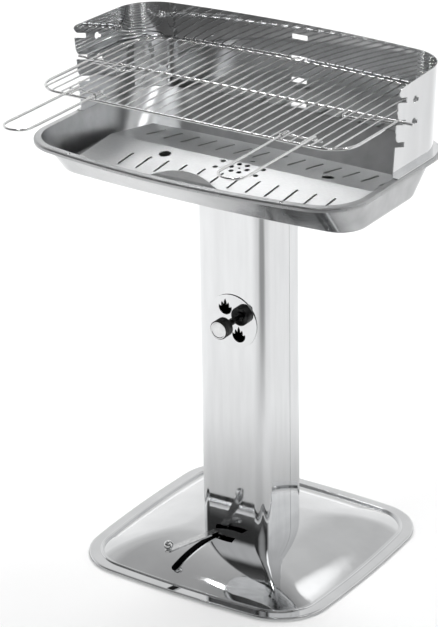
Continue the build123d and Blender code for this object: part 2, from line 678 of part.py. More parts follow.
def shield_face(grow, lean, spread):
    """Outline of the wind shield. Its back leans out and its sides spread towards the front."""
    half_x = SHIELD_HALF_X + grow
    back_y = SHIELD_BACK_Y + grow + lean
    corner_y = back_y - RIM_BACK_BOW
    front_x = half_x + spread * (corner_y - RIM_FRONT_Y)
    back = ThreePointArc((half_x, corner_y), (0, back_y), (-half_x, corner_y))
    sides = Polyline((-half_x, corner_y), (-front_x, RIM_FRONT_Y), (front_x, RIM_FRONT_Y), (half_x, corner_y))
    face = make_face([back, sides])
    return fillet(face.vertices().group_by(Axis.Y)[-1], SHIELD_CORNER + grow)


def shield_wall(inset):
    """Solid form inside the shield's outer or inner face."""
    low = Pos(0, 0, RIM_Z) * shield_face(-inset, 0, 0)
    high = Pos(0, 0, RIM_Z + SHIELD_RISE) * shield_face(-inset, SHIELD_LEAN, SHIELD_SPREAD)
    return loft([low, high], ruled=True)


def notch_face(end_z):
    """Notch in YZ: a floor that falls towards the back, and a rounded lead-in under the tooth above."""
    outside = SHIELD_FRONT_Y - SHIELD_LEAN
    front_z = end_z + NOTCH_RISE * (NOTCH_END_Y - outside)
    lead_z = end_z + NOTCH_HEIGHT + NOTCH_RISE * (NOTCH_END_Y - NOTCH_LEAD_Y)
    lead_long = NOTCH_LEAD_Y - SHIELD_FRONT_Y
    quarter = math.sqrt(0.5)
    lead_mid = (NOTCH_LEAD_Y - quarter * lead_long, lead_z + (1 - quarter) * NOTCH_LEAD)
    mouth_z = lead_z + NOTCH_LEAD
    floor = Polyline((outside, mouth_z), (outside, front_z), (NOTCH_END_Y, end_z),
                     (NOTCH_END_Y, end_z + NOTCH_HEIGHT), (NOTCH_LEAD_Y, lead_z))
    lead = ThreePointArc((NOTCH_LEAD_Y, lead_z), lead_mid, (SHIELD_FRONT_Y, mouth_z))
    return make_face([floor, lead, Line((SHIELD_FRONT_Y, mouth_z), (outside, mouth_z))])


def spit_hole_face(end_z):
    """Keyhole behind a notch for a spit, leaning like the notch."""
    lean = math.degrees(math.atan(NOTCH_RISE))
    tail = Pos(SPIT_HOLE_TAIL / 2, 0) * Rectangle(SPIT_HOLE_TAIL, SPIT_HOLE_SLOT)
    return Pos(SPIT_HOLE_Y, end_z - SPIT_HOLE_DROP) * Rot(0, 0, -lean) * (Circle(SPIT_HOLE_R) + tail)


def top_round_face():
    """What is cut off to round the top front corners."""
    r = SHIELD_TOP_ROUND
    corner = Pos(r / 2, -r / 2) * Rectangle(r, r) - Pos(r, -r) * Circle(r)
    return Pos(SHIELD_FRONT_Y, RIM_Z + SHIELD_RISE) * corner


def rear_slot(level_z):
    """Cutter for one slot in the middle of the back wall, where the grate's tongue goes through."""
    low = BAR_Z + level_z - NOTCH_Z - TONGUE_R - SEAT_GAP
    high = low + 2 * TONGUE_R + 2 * SEAT_GAP + REAR_SLOT_ROOM
    long = 4 * SHIELD_CORNER
    return Pos(REAR_SLOT_X, SHIELD_BACK_Y, (low + high) / 2) * Box(2 * REAR_SLOT_HALF, long, high - low)


def wind_shield():
    """U-shaped sheet round the sides and back: foot flange on the rim, three notches a side, slots behind."""
    foot = extrude(shield_face(SHIELD_FOOT, 0, 0), SHEET) - extrude(shield_face(0, 0, 0), SHEET)
    shield = shield_wall(0) + Pos(0, 0, RIM_Z) * foot - shield_wall(SHEET)
    front = Box(4 * RIM_HALF_X, 2 * SHIELD_BACK_Y, 4 * SHIELD_RISE)
    shield -= Pos(0, SHIELD_FRONT_Y - SHIELD_BACK_Y, RIM_Z) * front
    cuts = Sketch() + [notch_face(z) for z in NOTCH_LEVELS] + top_round_face()
    cuts += [spit_hole_face(z) for z in NOTCH_LEVELS[1:]]
    shield -= extrude(Plane.YZ * cuts, 2 * RIM_HALF_X, both=True)
    for level in [NOTCH_LEVELS[0] - REAR_SLOT_LOW_DROP] + NOTCH_LEVELS:
        shield -= rear_slot(level)
    for x, y in screw_places():
        shield -= hole(x, y, RIM_Z, SCREW_R + BOLT_GAP)
    return shield


def shield_screws():
    """Screws through the shield's foot and the rim, each with its nut below."""
    pieces = []
    for x, y in screw_places():
        top = RIM_Z + SHEET
        low = RIM_Z - SHEET
        head = upright(x, y, top, top + SCREW_HEAD, SCREW_HEAD_R)
        nut = upright(x, y, low - SCREW_NUT, low, SCREW_HEAD_R)
        pieces.append(head + upright(x, y, low, top, SCREW_R) + nut)
    return Compound(children=pieces)


def slot_row(count, pitch, shift):
    """Distances of a row of slots from the middle of the coal plate."""
    return [shift + (k - (count - 1) / 2) * pitch for k in range(count)]


def plate_half(slope_deg, way, slot_long, row):
    """One slope of the coal plate, from the ridge outward, with its row of slots."""
    long = RIM_BACK_Y - RIM_FRONT_Y
    slope = Rectangle(2 * PLATE_HALF_X, long)
    middle = PLATE_SLOT_FROM + slot_long / 2 - long / 2
    for x in row:
        slope -= Pos(x, way * middle) * SlotOverall(slot_long, PLATE_SLOT_WIDTH, rotation=90)
    sheet = Pos(0, way * long / 2, -SHEET) * extrude(slope, SHEET)
    return Pos(PLATE_X, RIDGE_Y, RIDGE_Z) * Rot(-way * slope_deg, 0, 0) * sheet


def plate_holes():
    """Cutter for the finger holes and the cluster of round holes beside the ridge."""
    sketch = Sketch()
    for way in (-1, 1):
        sketch += Pos(way * FINGER_HOLE_X, way * FINGER_HOLE_Y) * Circle(FINGER_HOLE_R)
    sketch += Pos(0, CLUSTER_Y) * Circle(CLUSTER_MID_R)
    sketch += Pos(0, CLUSTER_Y) * PolarLocations(CLUSTER_RING_R, CLUSTER_COUNT) * Circle(CLUSTER_HOLE_R)
    for turn in CLUSTER_OUTER_DEG:
        sketch += Pos(0, CLUSTER_Y) * Rot(0, 0, turn) * Pos(CLUSTER_OUTER_R, 0) * Circle(CLUSTER_HOLE_R)
    return Pos(PLATE_X, RIDGE_Y, FLOOR_Z) * extrude(sketch, BOWL_DEPTH)


def plate_lip():
    """Curled finger lip with an arched top, which rises from the middle of the plate's front edge."""
    fall = math.tan(math.radians(PLATE_FRONT_DEG))
    wall = BOWL_FRONT_RUN / BOWL_DEPTH
    reach = (RIDGE_Y - FLOOR_FRONT_Y + wall * PLATE_RIDGE) / (1 + wall * fall) - LIP_ROOT
    root_z = RIDGE_Z - SHEET / 2 - fall * reach
    foot_y = RIDGE_Y - reach
    x = PLATE_X + LIP_X
    path = FilletPolyline(
        (x, foot_y + LIP_ROOT, root_z + fall * LIP_ROOT),
        (x, foot_y, root_z),
        (x, foot_y - LIP_LEAN, root_z + LIP_RISE),
        (x, foot_y - LIP_LEAN + LIP_CURL, root_z + LIP_RISE + LIP_CURL),
        radius=LIP_BEND_R,
    )
    section = Plane(path @ 0, x_dir=(1, 0, 0), z_dir=path % 0) * Rectangle(2 * LIP_HALF, SHEET)
    lip = sweep(section, path=path)
    arc_z = root_z + LIP_RISE + LIP_CURL - LIP_ARC_R
    arch = Plane((x, foot_y, arc_z), x_dir=(1, 0, 0), z_dir=(0, 1, 0)) * Circle(LIP_ARC_R)
    return lip & extrude(arch, LIP_ARC_R, both=True)


def coal_plate():
    """Roof-shaped slotted plate, cut to lie against the bowl's walls, with its finger lip."""
    front_row = slot_row(PLATE_FRONT_COUNT, PLATE_FRONT_PITCH, PLATE_FRONT_SHIFT)
    back_row = slot_row(PLATE_BACK_COUNT, PLATE_BACK_PITCH, PLATE_BACK_SHIFT)
    front = plate_half(PLATE_FRONT_DEG, -1, PLATE_FRONT_SLOT, front_row)
    back = plate_half(PLATE_BACK_DEG, 1, PLATE_BACK_SLOT, back_row)
    plate = front + back - plate_holes()
    plate &= bowl_form(SHEET + SEAT_GAP, SHEET + SEAT_GAP)
    return plate + plate_lip()


def grate_outline():
    """Centre line of the frame wire: straight in front, bowed behind like the shield."""
    corners = (GRATE_CORNER, GRATE_BACK_CORNER)
    return bowed_face(GRATE_HALF_X, GRATE_FRONT_Y, GRATE_BACK_Y, *corners, 0, 0, RIM_BACK_BOW)


def grate_frame():
    """Closed frame of thick wire."""
    path = Pos(0, 0, BAR_Z) * grate_outline().wire()
    return wire_along(path, FRAME_WIRE_R)


def grate_wires():
    """Thin wires from front to back, welded on top of the frame and the middle bar."""
    inside = extrude(offset(grate_outline(), WIRE_PAST), HANDLE_Z - BAR_Z + 2 * HANDLE_WIRE_R)
    inside = Pos(0, 0, BAR_Z) * inside
    pieces = []
    for k in range(-WIRE_SIDE_COUNT, WIRE_SIDE_COUNT + 1):
        x = k * WIRE_PITCH
        line = Line((x, GRATE_FRONT_Y - FRAME_WIRE_R, WIRE_Z), (x, GRATE_BACK_Y + FRAME_WIRE_R, WIRE_Z))
        pieces.append(wire_along(line, THIN_WIRE_R) & inside)
    return Compound(children=pieces)


def grate_mid_bar():
    """Thick bar under the wires, between the two sides of the frame."""
    end = GRATE_HALF_X - FRAME_WIRE_R + WELD_SINK
    return wire_along(Line((-end, BAR_Y, BAR_Z), (end, BAR_Y, BAR_Z)), FRAME_WIRE_R)


def grate_lugs():
    """Pins outside the frame, in line with the middle bar, that lie in the notches."""
    start = GRATE_HALF_X + FRAME_WIRE_R - WELD_SINK
    lines = [Line((way * start, BAR_Y, BAR_Z), (way * LUG_REACH, BAR_Y, BAR_Z)) for way in (-1, 1)]
    return Compound(children=[wire_along(line, FRAME_WIRE_R) for line in lines])


def grate_braces():
    """Bent wires that brace the bar against the frame near each lug."""
    pieces = []
    for way in (-1, 1):
        inner_x = way * (GRATE_HALF_X - BRACE_IN)
        outer_x = way * (GRATE_HALF_X - FRAME_WIRE_R + WELD_SINK)
        path = FilletPolyline(
            (inner_x, BAR_Y - FRAME_WIRE_R + WELD_SINK, BAR_Z),
            (inner_x, BAR_Y - BRACE_FORWARD, BAR_Z),
            (outer_x, BAR_Y - BRACE_SIDE_STEP, BAR_Z),
            radius=BRACE_BEND_R,
        )
        pieces.append(wire_along(path, BRACE_R))
    return Compound(children=pieces)


def grate_tongue():
    """Small loop behind the frame that goes through a slot in the back of the shield."""
    front = GRATE_BACK_Y + FRAME_WIRE_R - 2 * WELD_SINK
    back = SHIELD_BACK_Y + SHIELD_LEAN + TONGUE_PAST
    path = FilletPolyline(
        (REAR_SLOT_X - TONGUE_HALF, front, BAR_Z),
        (REAR_SLOT_X - TONGUE_HALF, back, BAR_Z),
        (REAR_SLOT_X + TONGUE_HALF, back, BAR_Z),
        (REAR_SLOT_X + TONGUE_HALF, front, BAR_Z),
        radius=TONGUE_BEND_R,
    )
    return wire_along(path, TONGUE_R)


def handle(way):
    """U-shaped wire handle. Its inner leg ends straight, its outer leg hooks down behind the cross wire."""
    inner_x = way * (HANDLE_X - HANDLE_HALF)
    outer_x = way * (HANDLE_X + HANDLE_HALF)
    arc_y = HANDLE_TIP_Y + HANDLE_HALF
    inner = Line((inner_x, HANDLE_ROOT_Y, HANDLE_Z), (inner_x, arc_y, HANDLE_Z))
    tip = ThreePointArc(inner @ 1, (way * HANDLE_X, HANDLE_TIP_Y, HANDLE_Z), (outer_x, arc_y, HANDLE_Z))
    outer = Line(tip @ 1, (outer_x, HANDLE_ROOT_Y, HANDLE_Z))
    quarter = HANDLE_HOOK_R * math.sqrt(0.5)
    hook_mid = (outer_x, HANDLE_ROOT_Y + quarter, HANDLE_Z - HANDLE_HOOK_R + quarter)
    hook_end = (outer_x, HANDLE_ROOT_Y + HANDLE_HOOK_R, HANDLE_Z - HANDLE_HOOK_R)
    hook = ThreePointArc(outer @ 1, hook_mid, hook_end)
    return wire_along(Wire([inner, tip, outer, hook]), HANDLE_WIRE_R)


def handle_cross_wires():
    """Short wires under the thin wires that the handles' ends are welded to."""
    half = CROSS_WIRE_PITCHES * WIRE_PITCH + 2 * THIN_WIRE_R
    y = HANDLE_ROOT_Y - 2 * CROSS_WIRE_R
    pieces = []
    for way in (-1, 1):
        x = way * HANDLE_X
        line = Line((x - half, y, CROSS_WIRE_Z), (x + half, y, CROSS_WIRE_Z))
        pieces.append(wire_along(line, CROSS_WIRE_R))
    return Compound(children=pieces)


def handle_sleeves():
    """Ribbed sleeves on the inner legs, between the frame and the cross wire."""
    start = GRATE_FRONT_Y + SLEEVE_FROM_FRAME
    rib = SLEEVE_LONG / (2 * SLEEVE_RIBS - 1)
    pieces = []
    for way in (-1, 1):
        place = Plane((way * (HANDLE_X - HANDLE_HALF), start, HANDLE_Z), z_dir=(0, 1, 0))
        sleeve = extrude(place * Circle(SLEEVE_R - SLEEVE_GROOVE), SLEEVE_LONG)
        for k in range(SLEEVE_RIBS):
            sleeve += extrude(place.offset(2 * k * rib) * Circle(SLEEVE_R), rib)
        pieces.append(sleeve - extrude(place * Circle(HANDLE_WIRE_R + SLIP_GAP), SLEEVE_LONG))
    return Compound(children=pieces)


PIECES = {
    "base_pan": base_pan,
    "base_floor": base_floor,
    "ash_floor": ash_floor,
    "pivot_bolt": pivot_bolt,
    "foot_brackets": lambda: brackets(BASE_TOP, BRACKET_RISE),
    "foot_bolts": foot_bolts,
    "column_front": column_front,
    "column_rear": lambda: column_shell(False),
    "seam_strips": seam_strips,
    "head_brackets": lambda: brackets(FLOOR_Z, -BRACKET_RISE),
    "head_bolts": head_bolts,
    "fire_bowl": fire_bowl,
    "rim_rivets": rim_rivets,
    "wind_shield": wind_shield,
    "shield_screws": shield_screws,
    "damper_disc": damper_disc,
    "damper_stem": damper_stem,
    "damper_knob": damper_knob,
    "damper_cap": damper_cap,
    "damper_washer": damper_washer,
    "damper_nut": damper_nut,
    "ash_shutter": ash_shutter,
    "lever_arm": lever_arm,
    "lever_rivets": lever_rivets,
    "lever_knob": lever_knob,
    "coal_plate": coal_plate,
    "grate_frame": grate_frame,
    "grate_wires": grate_wires,
    "grate_mid_bar": grate_mid_bar,
    "grate_lugs": grate_lugs,
    "grate_braces": grate_braces,
    "grate_tongue": grate_tongue,
    "handle_left": lambda: handle(-1),
    "handle_right": lambda: handle(1),
    "handle_cross_wires": handle_cross_wires,
    "handle_sleeves": handle_sleeves,
}

os.makedirs("parts", exist_ok=True)
for name, make in PIECES.items():
    export_step(Pos(0, BODY_SHIFT, 0) * make(), f"parts/{name}.step")
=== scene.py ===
import math

import bpy
from mathutils import Matrix, Vector


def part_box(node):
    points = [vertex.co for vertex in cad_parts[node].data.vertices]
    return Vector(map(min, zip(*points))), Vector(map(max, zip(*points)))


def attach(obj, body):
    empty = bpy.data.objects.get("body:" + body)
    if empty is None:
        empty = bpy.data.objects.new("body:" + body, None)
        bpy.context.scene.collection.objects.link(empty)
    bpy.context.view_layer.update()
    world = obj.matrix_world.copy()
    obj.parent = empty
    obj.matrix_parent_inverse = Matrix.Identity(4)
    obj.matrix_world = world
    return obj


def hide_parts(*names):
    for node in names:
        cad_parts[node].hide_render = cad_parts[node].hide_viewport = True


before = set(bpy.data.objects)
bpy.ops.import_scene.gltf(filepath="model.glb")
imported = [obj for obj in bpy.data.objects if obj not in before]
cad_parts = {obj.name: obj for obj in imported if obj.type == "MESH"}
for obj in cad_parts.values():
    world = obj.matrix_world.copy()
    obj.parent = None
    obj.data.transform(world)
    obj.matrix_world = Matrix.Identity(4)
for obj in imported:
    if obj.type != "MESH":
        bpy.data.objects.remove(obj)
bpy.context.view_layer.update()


# The foot is one pressing of stainless sheet: a flange with a bead, and a dome that runs up to the column.
# It is buffed on a cloth wheel to a mirror. Its turned-down edge stands on the ground all round.
MM_IN_M = 1000

# A Mix node's colour sockets share their names with others, so they are called by number.
COLOUR_A = 6
COLOUR_B = 7
MIXED_COLOUR = 2


def linear(code):
    """Linear colour of an sRGB hex value."""
    parts = [int(code[k:k + 2], 16) / 255 for k in (1, 3, 5)]
    return [c / 12.92 if c <= 0.04045 else ((c + 0.055) / 1.055) ** 2.4 for c in parts] + [1.0]


def add(tree, kind, inputs=(), **settings):
    """Adds a node. Inputs are (socket, value or output socket) pairs."""
    node = tree.nodes.new(kind)
    for name, value in settings.items():
        setattr(node, name, value)
    for socket, value in inputs:
        if isinstance(value, bpy.types.NodeSocket):
            tree.links.new(value, node.inputs[socket])
        else:
            node.inputs[socket].default_value = value
    return node


def metal(name, dark, light, sheen, grain_mm, stretch, relief_mm):
    """Bare metal. One grain, of a size in mm and stretched along the axes, moves its colour between two
    hex values, its roughness between the two values of sheen, and its surface by a relief in mm."""
    grain_from = 0.3
    grain_to = 0.7
    material = bpy.data.materials.new(name)
    material.use_nodes = True
    tree = material.node_tree
    shader = tree.nodes["Principled BSDF"]
    shader.inputs["Metallic"].default_value = 1.0
    place = add(tree, "ShaderNodeTexCoord").outputs["Object"]
    drawn = add(tree, "ShaderNodeMapping", [("Vector", place), ("Scale", stretch)])
    grain = add(tree, "ShaderNodeTexNoise", [
        ("Vector", drawn.outputs["Vector"]), ("Scale", MM_IN_M / grain_mm), ("Detail", 3.0)])
    share = add(tree, "ShaderNodeMapRange", [
        ("Value", grain.outputs["Fac"]), ("From Min", grain_from), ("From Max", grain_to)]).outputs["Result"]
    tone = add(tree, "ShaderNodeMix", [
        ("Factor", share), (COLOUR_A, linear(dark)), (COLOUR_B, linear(light))], data_type="RGBA")
    rough = add(tree, "ShaderNodeMapRange", [("Value", share), ("To Min", sheen[0]), ("To Max", sheen[1])])
    bump = add(tree, "ShaderNodeBump", [
        ("Height", share), ("Strength", 1.0), ("Distance", relief_mm / MM_IN_M)])
    tree.links.new(tone.outputs[MIXED_COLOUR], shader.inputs["Base Color"])
    tree.links.new(rough.outputs["Result"], shader.inputs["Roughness"])
    tree.links.new(bump.outputs["Normal"], shader.inputs["Normal"])
    return material


def dress(material, *nodes):
    """Gives CAD nodes a material."""
    for node in nodes:
        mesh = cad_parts[node].data
        mesh.materials.clear()
        mesh.materials.append(material)


# Buffing leaves a mirror with a faint haze in patches of about 70 mm, and pressing leaves shallow waves of
# the same length, which bend the reflections a little.
buffed_stainless = metal("buffed_stainless", "#DADBDC", "#E4E5E6", sheen=(0.025, 0.06), grain_mm=70.0,
                         stretch=(1.0, 1.0, 1.0), relief_mm=0.012)
dress(buffed_stainless, "base_pan")


# The ash tray in the foot, the holed ash floor and its shutter are plain cold-rolled sheet, blanked and left
# as they came from the mill. The tray is pushed into the foot, the floor hangs on the foot's bolts.
# Rolling draws a dull streak of about 3 mm along the sheet, which scatters the light along one way.
rolled_sheet = metal("cold_rolled_sheet", "#85878A", "#A2A4A6", sheen=(0.3, 0.45), grain_mm=3.0,
                     stretch=(1.0, 0.06, 1.0), relief_mm=0.02)
dress(rolled_sheet, "base_floor", "ash_floor", "ash_shutter")


# The column is two shells of buffed stainless sheet, folded lengthways and joined by strips behind the seams.
# Angle brackets and bolts of zinc-plated steel hold it to the foot and to the bowl.
# Buffing along the column leaves a fine haze in streaks that are 12 mm wide and ten times as long.
column_stainless = metal("buffed_column", "#DCDDDE", "#E4E5E6", sheen=(0.03, 0.075), grain_mm=12.0,
                         stretch=(1.0, 1.0, 0.1), relief_mm=0.001)
dress(column_stainless, "column_front", "column_rear")

# Zinc plating is a bluish grey with crystals of about 1.5 mm, some duller than others.
zinc_plate = metal("zinc_plated_steel", "#9A9DA0", "#B4B7BA", sheen=(0.25, 0.45), grain_mm=1.5,
                   stretch=(1.0, 1.0, 1.0), relief_mm=0.01)
dress(zinc_plate, "seam_strips", "foot_brackets", "head_brackets", "foot_bolts", "head_bolts", "pivot_bolt")


# The air damper is a blanked disc on a black lacquered spindle, held by a washer and a nut inside the column.
# Its knob is moulded phenolic with a groove round its side, and a pressed bright cap closes its front.
def black_finish(name, code, gloss, grain_mm, detail, relief_mm, strength):
    """A black moulding or coat. One grain, of a size in mm, moves its roughness between the two values of
    gloss, and its surface by a relief in mm."""
    material = bpy.data.materials.new(name)
    material.use_nodes = True
    tree = material.node_tree
    shader = tree.nodes["Principled BSDF"]
    shader.inputs["Base Color"].default_value = linear(code)
    place = add(tree, "ShaderNodeTexCoord").outputs["Object"]
    grain = add(tree, "ShaderNodeTexNoise", [
        ("Vector", place), ("Scale", MM_IN_M / grain_mm), ("Detail", detail)]).outputs["Fac"]
    rough = add(tree, "ShaderNodeMapRange", [("Value", grain), ("To Min", gloss[0]), ("To Max", gloss[1])])
    bump = add(tree, "ShaderNodeBump", [
        ("Height", grain), ("Strength", strength), ("Distance", relief_mm / MM_IN_M)])
    tree.links.new(rough.outputs["Result"], shader.inputs["Roughness"])
    tree.links.new(bump.outputs["Normal"], shader.inputs["Normal"])
    return material


def middle(node):
    """Middle of a CAD node's box."""
    low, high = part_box(node)
    return (Vector(low) + Vector(high)) / 2


def blank(sides, radius, length, place, tilt=0.0):
    """Adds a cylinder to start a piece from, upright or tilted about the X axis."""
    bpy.ops.object.select_all(action="DESELECT")
    bpy.ops.mesh.primitive_cylinder_add(vertices=sides, radius=radius, depth=length,
                                        location=place, rotation=(tilt, 0.0, 0.0))
    bpy.ops.object.transform_apply(location=True, rotation=True, scale=True)
    return bpy.context.active_object


def pick(piece, test):
    """Selects the faces of a piece whose middle and normal pass a test, and stays in edit mode."""
    bpy.ops.object.mode_set(mode="OBJECT")
    for group in (piece.data.vertices, piece.data.edges, piece.data.polygons):
        group.foreach_set("select", [False] * len(group))
    for face in piece.data.polygons:
        face.select = test(face.center, face.normal)
    bpy.ops.object.mode_set(mode="EDIT")
    bpy.ops.mesh.select_mode(type="FACE")


def round_edges(piece, width, angle=40.0):
    """Rounds the sharp edges of a piece and shades it smooth between them."""
    bpy.ops.object.mode_set(mode="OBJECT")
    bevel = piece.modifiers.new("edges", "BEVEL")
    bevel.width = width
    bevel.segments = 3
    bevel.limit_method = "ANGLE"
    bevel.angle_limit = math.radians(angle)
    bpy.ops.object.modifier_apply(modifier=bevel.name)
    bpy.ops.object.shade_smooth_by_angle(angle=math.radians(angle))


def settle(piece, name, material, body, slot, *nodes):
    """Names a finished piece, leaves its place in its mesh, and puts it on its body instead of CAD nodes."""
    bpy.ops.object.mode_set(mode="OBJECT")
    bpy.ops.object.transform_apply(location=True, rotation=True, scale=True)
    piece.name = name
    piece.data.materials.clear()
    piece.data.materials.append(material)
    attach(piece, body)
    if nodes:
        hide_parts(*nodes)


dress(buffed_stainless, "damper_disc")
dress(zinc_plate, "damper_washer", "damper_nut")

# Lacquer on steel: black and glossy, with slow runs of about 4 mm.
lacquer = black_finish("black_lacquer", "#0E0E0E", gloss=(0.18, 0.32), grain_mm=4.0, detail=1.0,
                       relief_mm=0.1, strength=0.4)
dress(lacquer, "damper_stem")

# Phenolic moulding: black, half dull, with the fine orange-peel of its mould, some 0.8 mm across.
phenolic = black_finish("moulded_phenolic", "#131313", gloss=(0.24, 0.4), grain_mm=0.8, detail=2.0,
                        relief_mm=0.05, strength=0.3)

# A face counts as looking along an axis when its normal has more than FACING of its length along it.
FACING = 0.9
KNOB_SIDES = 72
KNOB_R = 0.0155
KNOB_WALL = 0.0022
KNOB_HOLLOW = 0.003
KNOB_ROUND = 0.0005
HUB_R = 0.0065
HUB_DRAFT = 0.0004
GROOVE_FROM = 0.0028
GROOVE_WIDE = 0.0014
GROOVE_DEEP = 0.0007
low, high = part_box("damper_knob")
knob = blank(KNOB_SIDES, KNOB_R, high[1] - low[1], middle("damper_knob"), tilt=math.pi / 2)
bpy.ops.object.mode_set(mode="EDIT")
for depth in (GROOVE_FROM, GROOVE_FROM + GROOVE_WIDE):
    bpy.ops.mesh.select_all(action="SELECT")
    bpy.ops.mesh.bisect(plane_co=(0.0, low[1] + depth, 0.0), plane_no=(0.0, 1.0, 0.0))
groove_y = low[1] + GROOVE_FROM + GROOVE_WIDE / 2
pick(knob, lambda at, facing: abs(at.y - groove_y) < GROOVE_WIDE / 4)
bpy.ops.mesh.extrude_region_shrink_fatten(TRANSFORM_OT_shrink_fatten={"value": -GROOVE_DEEP})
pick(knob, lambda at, facing: facing.y > FACING and at.y > groove_y)
bpy.ops.mesh.inset(thickness=KNOB_WALL)
bpy.ops.mesh.inset(thickness=KNOB_R - KNOB_WALL - HUB_R, depth=-KNOB_HOLLOW)
bpy.ops.mesh.inset(thickness=HUB_DRAFT, depth=KNOB_HOLLOW)
round_edges(knob, KNOB_ROUND)
settle(knob, "damper_grip", phenolic, "damper", "black_plastic", "damper_knob")

# Bright nickel plating: nearly a mirror, with a soft haze in 6 mm patches.
nickel_plate = metal("bright_nickel_plate", "#D2D3D4", "#DEDFDF", sheen=(0.06, 0.14), grain_mm=6.0,
                     stretch=(1.0, 1.0, 1.0), relief_mm=0.002)
CAP_RIM = 0.0016
CAP_DISH = 0.0005
CAP_ROUND = 0.0002
low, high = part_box("damper_cap")
cap = blank(KNOB_SIDES, (high[0] - low[0]) / 2, high[1] - low[1], middle("damper_cap"), tilt=math.pi / 2)
pick(cap, lambda at, facing: facing.y < -FACING)
bpy.ops.mesh.inset(thickness=CAP_RIM)
bpy.ops.mesh.inset(thickness=2 * CAP_DISH, depth=-CAP_DISH)
round_edges(cap, CAP_ROUND, angle=20.0)
settle(cap, "damper_face", nickel_plate, "damper", "bright_fitting", "damper_cap")


# The ash lever is a cranked strip of plated steel, riveted to the shutter under the foot. Its upper side is
# bright, and its underside is painted near black as painted shade.
def upward(tree):
    """How far a surface looks up, from -1 to 1."""
    facing = add(tree, "ShaderNodeTexCoord").outputs["Normal"]
    return add(tree, "ShaderNodeSeparateXYZ", [("Vector", facing)]).outputs["Z"]


# The plating has a light haze in 5 mm patches, and turns to painted shade where the strip faces down.
UNDERSIDE_SHADE_STARTS = -0.3
UNDERSIDE_SHADE_COVERS = -0.6
lever_plate = metal("plated_lever_strip", "#CBCCCD", "#DCDDDD", sheen=(0.1, 0.2), grain_mm=5.0,
                    stretch=(1.0, 1.0, 1.0), relief_mm=0.004)
tree = lever_plate.node_tree
shader = tree.nodes["Principled BSDF"]
underside_shade = add(tree, "ShaderNodeMapRange", [
    ("Value", upward(tree)), ("From Min", UNDERSIDE_SHADE_STARTS), ("From Max", UNDERSIDE_SHADE_COVERS)]).outputs["Result"]
bright = shader.inputs["Base Color"].links[0].from_socket
# Painted shade: the colour turns near black on the faces that look down.
scale = add(tree, "ShaderNodeMix", [
    ("Factor", underside_shade), (COLOUR_A, bright), (COLOUR_B, linear("#1A1A1B"))], data_type="RGBA")
tree.links.new(scale.outputs[MIXED_COLOUR], shader.inputs["Base Color"])
dress(lever_plate, "lever_arm")
dress(zinc_plate, "lever_rivets")

# The lever's knob is a turned ball on a neck with a foot ring, screwed down on the strip. The ball is opened
# at BALL_OPEN below its equator, and the neck and the ring are drawn out of the hole.
BALL_R = 0.0075
BALL_OPEN = math.radians(60.0)
BALL_ROUND = 0.0002
NECK_R = 0.0032
NECK_FILLET = 0.0001
RING_R = 0.0046
RING_HIGH = 0.001
low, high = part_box("lever_knob")
axis = middle("lever_knob")
ball_z = high[2] - BALL_R
bpy.ops.object.select_all(action="DESELECT")
bpy.ops.mesh.primitive_uv_sphere_add(segments=48, ring_count=24, radius=BALL_R,
                                     location=(axis.x, axis.y, ball_z))
ball = bpy.context.active_object
bpy.ops.object.transform_apply(location=True, rotation=True, scale=True)
drawn_r = BALL_R * math.cos(BALL_OPEN)
drawn_z = ball_z - BALL_R * math.sin(BALL_OPEN)
pick(ball, lambda at, facing: at.z < drawn_z)
bpy.ops.mesh.delete(type="FACE")
bpy.ops.mesh.select_mode(type="EDGE")
bpy.ops.mesh.select_non_manifold()
for radius, height in ((NECK_R, RING_HIGH + NECK_FILLET), (RING_R, RING_HIGH), (RING_R, 0.0)):
    next_z = low[2] + height
    widens = radius / drawn_r
    bpy.ops.mesh.extrude_region_move(TRANSFORM_OT_translate={"value": (0.0, 0.0, next_z - drawn_z)})
    bpy.ops.transform.resize(value=(widens, widens, 1.0), center_override=(axis.x, axis.y, next_z))
    drawn_r = radius
    drawn_z = next_z
bpy.ops.mesh.edge_face_add()
round_edges(ball, BALL_ROUND, angle=35.0)
settle(ball, "lever_ball", nickel_plate, "lever", "bright_fitting", "lever_knob")


# The fire bowl is drawn from one stainless blank, with sloping walls, a flue hole in its floor and a rolled
# rim. It is bolted to the column's head brackets, and two domed rivets sit in the front of the rim.
# Drawing leaves a dull satin with a haze in 25 mm clouds. Only the outside, which faces down, was polished.
POLISH_ENDS = -0.1
SATIN_STARTS = 0.1
SATIN_DULLER = 0.2
drawn_stainless = metal("drawn_stainless", "#ADAEAF", "#BCBDBE", sheen=(0.12, 0.2), grain_mm=25.0,
                        stretch=(1.0, 1.0, 1.0), relief_mm=0.01)
tree = drawn_stainless.node_tree
shader = tree.nodes["Principled BSDF"]
inside = add(tree, "ShaderNodeMapRange", [
    ("Value", upward(tree)), ("From Min", POLISH_ENDS), ("From Max", SATIN_STARTS),
    ("To Max", SATIN_DULLER)]).outputs["Result"]
polish = shader.inputs["Roughness"].links[0].from_socket
satin = add(tree, "ShaderNodeMath", [(0, polish), (1, inside)], operation="ADD")
tree.links.new(satin.outputs["Value"], shader.inputs["Roughness"])
dress(drawn_stainless, "fire_bowl")
dress(nickel_plate, "rim_rivets")


# The coal plate is satin stainless sheet, punched with slots and holes, folded along its ridge, and lies
# loose in the bowl. A curled lip in the middle of its front edge lets a finger lift it.
# The satin is a matt mill finish with a grain of about 1 mm, coarser than the real one so that it shows.
satin_stainless = metal("satin_stainless", "#D6D7D8", "#E2E3E3", sheen=(0.4, 0.48), grain_mm=1.0,
                        stretch=(0.15, 1.0, 1.0), relief_mm=0.0006)
dress(satin_stainless, "coal_plate")


